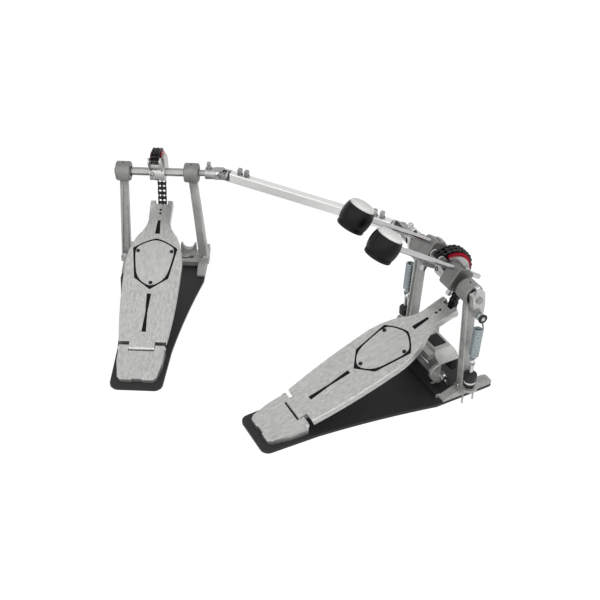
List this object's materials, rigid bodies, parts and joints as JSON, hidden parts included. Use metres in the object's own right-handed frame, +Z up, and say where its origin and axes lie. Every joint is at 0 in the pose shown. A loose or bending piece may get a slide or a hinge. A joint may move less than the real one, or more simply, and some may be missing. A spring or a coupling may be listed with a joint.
{
  "type": "double bass drum pedal",
  "caption": "Double bass drum pedal: a primary pedal with twin beaters and a slave pedal, joined by a telescopic drive shaft with universal joints; chain drive and springs.",
  "frame": {"origin": "on the floor under the middle of the primary pedal's axle", "axes": "+X to the player's right along the primary axle, +Y towards the drum, +Z up"},
  "size_m": [0.5974, 0.4924, 0.3149],
  "materials": {
    "cast_aluminium": "satin",
    "black_plate": "matte",
    "mat_rubber": "matte",
    "clamp_rubber": "matte",
    "bright_steel": "polished",
    "forged_steel": "satin",
    "spring_steel": "satin",
    "black_chain": "satin",
    "red_cam": "gloss",
    "beater_black": "satin",
    "white_felt": "matte",
    "black_nut": "matte",
    "white_nylon": "matte"
  },
  "bodies": {
    "primary_base": {"primary_base_plate": "black_plate", "primary_rubber_mat": "mat_rubber", "primary_toe_frame": "cast_aluminium", "primary_posts": "cast_aluminium", "primary_bearings": "forged_steel", "primary_heel_plate": "cast_aluminium", "spring_eye_bolts": "bright_steel", "spring_nuts": "black_nut", "spring_washers": "white_nylon"},
    "right_spring": {"right_spring": "spring_steel"},
    "left_spring": {"left_spring": "spring_steel"},
    "clamp_jaw": {"clamp_jaw": "cast_aluminium", "clamp_pads": "clamp_rubber"},
    "clamp_screw": {"clamp_wing_screw": "bright_steel"},
    "primary_footboard": {"primary_footboard": "cast_aluminium", "primary_traction_plate": "cast_aluminium", "primary_plate_screws": "black_plate", "primary_footboard_pins": "bright_steel"},
    "primary_axle": {"right_axle": "bright_steel", "primary_cam": "red_cam", "primary_cam_hub": "cast_aluminium", "primary_chain_wrap": "black_chain", "right_beater_hub": "cast_aluminium", "right_axle_bolts": "bright_steel", "right_rocker": "cast_aluminium"},
    "right_beater": {"right_beater_rod": "bright_steel", "right_beater_body": "beater_black", "right_beater_felt": "white_felt"},
    "primary_strand": {"primary_chain_strand": "black_chain"},
    "left_axle": {"left_axle": "cast_aluminium", "left_beater_hub": "cast_aluminium", "left_axle_bolts": "bright_steel", "left_rocker": "cast_aluminium", "left_fork": "forged_steel"},
    "left_beater": {"left_beater_rod": "bright_steel", "left_beater_body": "beater_black", "left_beater_felt": "white_felt"},
    "left_cross": {"left_cross": "forged_steel"},
    "drive_tube": {"drive_tube": "cast_aluminium", "drive_tube_bolts": "bright_steel", "drive_tube_fork": "forged_steel"},
    "drive_rod": {"drive_rod": "forged_steel"},
    "slave_cross": {"slave_cross": "forged_steel"},
    "slave_base": {"slave_base_plate": "black_plate", "slave_rubber_mat": "mat_rubber", "slave_toe_frame": "cast_aluminium", "slave_posts": "cast_aluminium", "slave_bearings": "forged_steel", "slave_heel_plate": "cast_aluminium"},
    "slave_footboard": {"slave_footboard": "cast_aluminium", "slave_traction_plate": "cast_aluminium", "slave_plate_screws": "black_plate", "slave_footboard_pins": "bright_steel"},
    "slave_axle": {"slave_axle": "bright_steel", "slave_cam": "red_cam", "slave_cam_hub": "cast_aluminium", "slave_chain_wrap": "black_chain", "slave_fork": "forged_steel", "slave_fork_bolt": "bright_steel"},
    "slave_strand": {"slave_chain_strand": "black_chain"}
  },
  "joints": [
    {"name": "primary_axle_swing", "type": "hinge", "parent": "primary_base", "child": "primary_axle", "pos_m": [0, 0, 0.1847], "axis": [-1, 0, 0], "range_deg": [0, 56], "stiffness_Nm_per_rad": 1.5, "springref_deg": -34.38, "deforming": ["right_spring", "primary_chain_wrap", "primary_chain_strand"]},
    {"name": "right_spring_stretch", "type": "slide", "parent": "primary_base", "child": "right_spring", "axis": [0, -0.9397, 0.342], "range_m": [0, 0.02679], "deforming": ["right_spring"]},
    {"name": "left_spring_stretch", "type": "slide", "parent": "primary_base", "child": "left_spring", "axis": [0, -0.9319, 0.3626], "range_m": [0, 0.02787], "deforming": ["left_spring"]},
    {"name": "primary_footboard_hinge", "type": "hinge", "parent": "primary_base", "child": "primary_footboard", "pos_m": [0, -0.237, 0.0225], "axis": [-1, 0, 0], "range_deg": [0, 8.62]},
    {"name": "primary_chain_bend", "type": "hinge", "parent": "primary_axle", "child": "primary_strand", "pos_m": [0, 0.03544, 0.19479], "axis": [1, 0, 0], "range_deg": [0, 67.26], "deforming": ["primary_chain_wrap", "primary_chain_strand"]},
    {"name": "right_beater_height", "type": "slide", "parent": "primary_axle", "child": "right_beater", "axis": [0, -0.829, 0.5592], "range_m": [-0.02, 0.015]},
    {"name": "clamp_jaw_hinge", "type": "hinge", "parent": "primary_base", "child": "clamp_jaw", "pos_m": [0, -0.015, 0.021], "axis": [1, 0, 0], "range_deg": [-8, 4]},
    {"name": "clamp_screw_turn", "type": "hinge", "parent": "primary_base", "child": "clamp_screw", "pos_m": [0, -0.015, 0.021], "axis": [1, 0, 0], "continuous": true},
    {"name": "drive_shaft_length", "type": "slide", "parent": "primary_base", "child": "slave_base", "axis": [-0.8387, -0.5446, 0], "range_m": [0, 0.08]},
    {"name": "slave_axle_swing", "type": "hinge", "parent": "slave_base", "child": "slave_axle", "pos_m": [-0.42707, -0.25636, 0.1847], "axis": [-0.5135, -0.8581, 0], "range_deg": [0, 56], "stiffness_Nm_per_rad": 1.5, "springref_deg": -34.38, "deforming": ["left_spring", "slave_chain_wrap", "slave_chain_strand"]},
    {"name": "slave_footboard_hinge", "type": "hinge", "parent": "slave_base", "child": "slave_footboard", "pos_m": [-0.22371, -0.37807, 0.0225], "axis": [-0.5135, -0.8581, 0], "range_deg": [0, 8.62]},
    {"name": "slave_chain_bend", "type": "hinge", "parent": "slave_axle", "child": "slave_strand", "pos_m": [-0.45748, -0.23816, 0.19479], "axis": [0.5135, 0.8581, 0], "range_deg": [0, 67.26], "deforming": ["slave_chain_wrap", "slave_chain_strand"]},
    {"name": "slave_cross_tilt", "type": "hinge", "parent": "slave_axle", "child": "slave_cross", "pos_m": [-0.37469, -0.16884, 0.1847], "axis": [0, 0, 1], "range_deg": [0, 8.75]},
    {"name": "drive_rod_turn", "type": "hinge", "parent": "slave_base", "child": "drive_rod", "pos_m": [-0.37469, -0.16884, 0.1847], "axis": [-0.8387, -0.5446, 0], "range_deg": [0, 52.58]},
    {"name": "drive_tube_turn", "type": "hinge", "parent": "primary_base", "child": "drive_tube", "pos_m": [-0.1147, 0, 0.1847], "axis": [-0.8387, -0.5446, 0], "range_deg": [0, 52.58]},
    {"name": "left_axle_swing", "type": "hinge", "parent": "primary_base", "child": "left_axle", "pos_m": [0, 0, 0.1847], "axis": [-1, 0, 0], "range_deg": [0, 59.02]},
    {"name": "left_cross_tilt", "type": "hinge", "parent": "left_axle", "child": "left_cross", "pos_m": [-0.1147, 0, 0.1847], "axis": [0, 0, 1], "range_deg": [-11.23, 0]},
    {"name": "left_beater_height", "type": "slide", "parent": "left_axle", "child": "left_beater", "axis": [0, -0.829, 0.5592], "range_m": [-0.02, 0.015]}
  ],
  "couplings": [
    {"joint": "right_spring_stretch", "follows": "primary_axle_swing", "m_per_rad": 0.026899},
    {"joint": "left_spring_stretch", "follows": "slave_axle_swing", "m_per_rad": 0.028006},
    {"joint": "primary_footboard_hinge", "follows": "primary_axle_swing", "ratio": 0.14498},
    {"joint": "primary_chain_bend", "follows": "primary_axle_swing", "ratio": 1.1921},
    {"joint": "slave_footboard_hinge", "follows": "slave_axle_swing", "ratio": 0.14498},
    {"joint": "slave_chain_bend", "follows": "slave_axle_swing", "ratio": 1.1921},
    {"joint": "slave_cross_tilt", "follows": "slave_axle_swing", "ratio": 0.1474},
    {"joint": "drive_rod_turn", "follows": "slave_axle_swing", "ratio": 0.93003},
    {"joint": "drive_tube_turn", "follows": "slave_axle_swing", "ratio": 0.93003},
    {"joint": "left_axle_swing", "follows": "slave_axle_swing", "ratio": 1.0451},
    {"joint": "left_cross_tilt", "follows": "slave_axle_swing", "ratio": -0.19157}
  ]
}
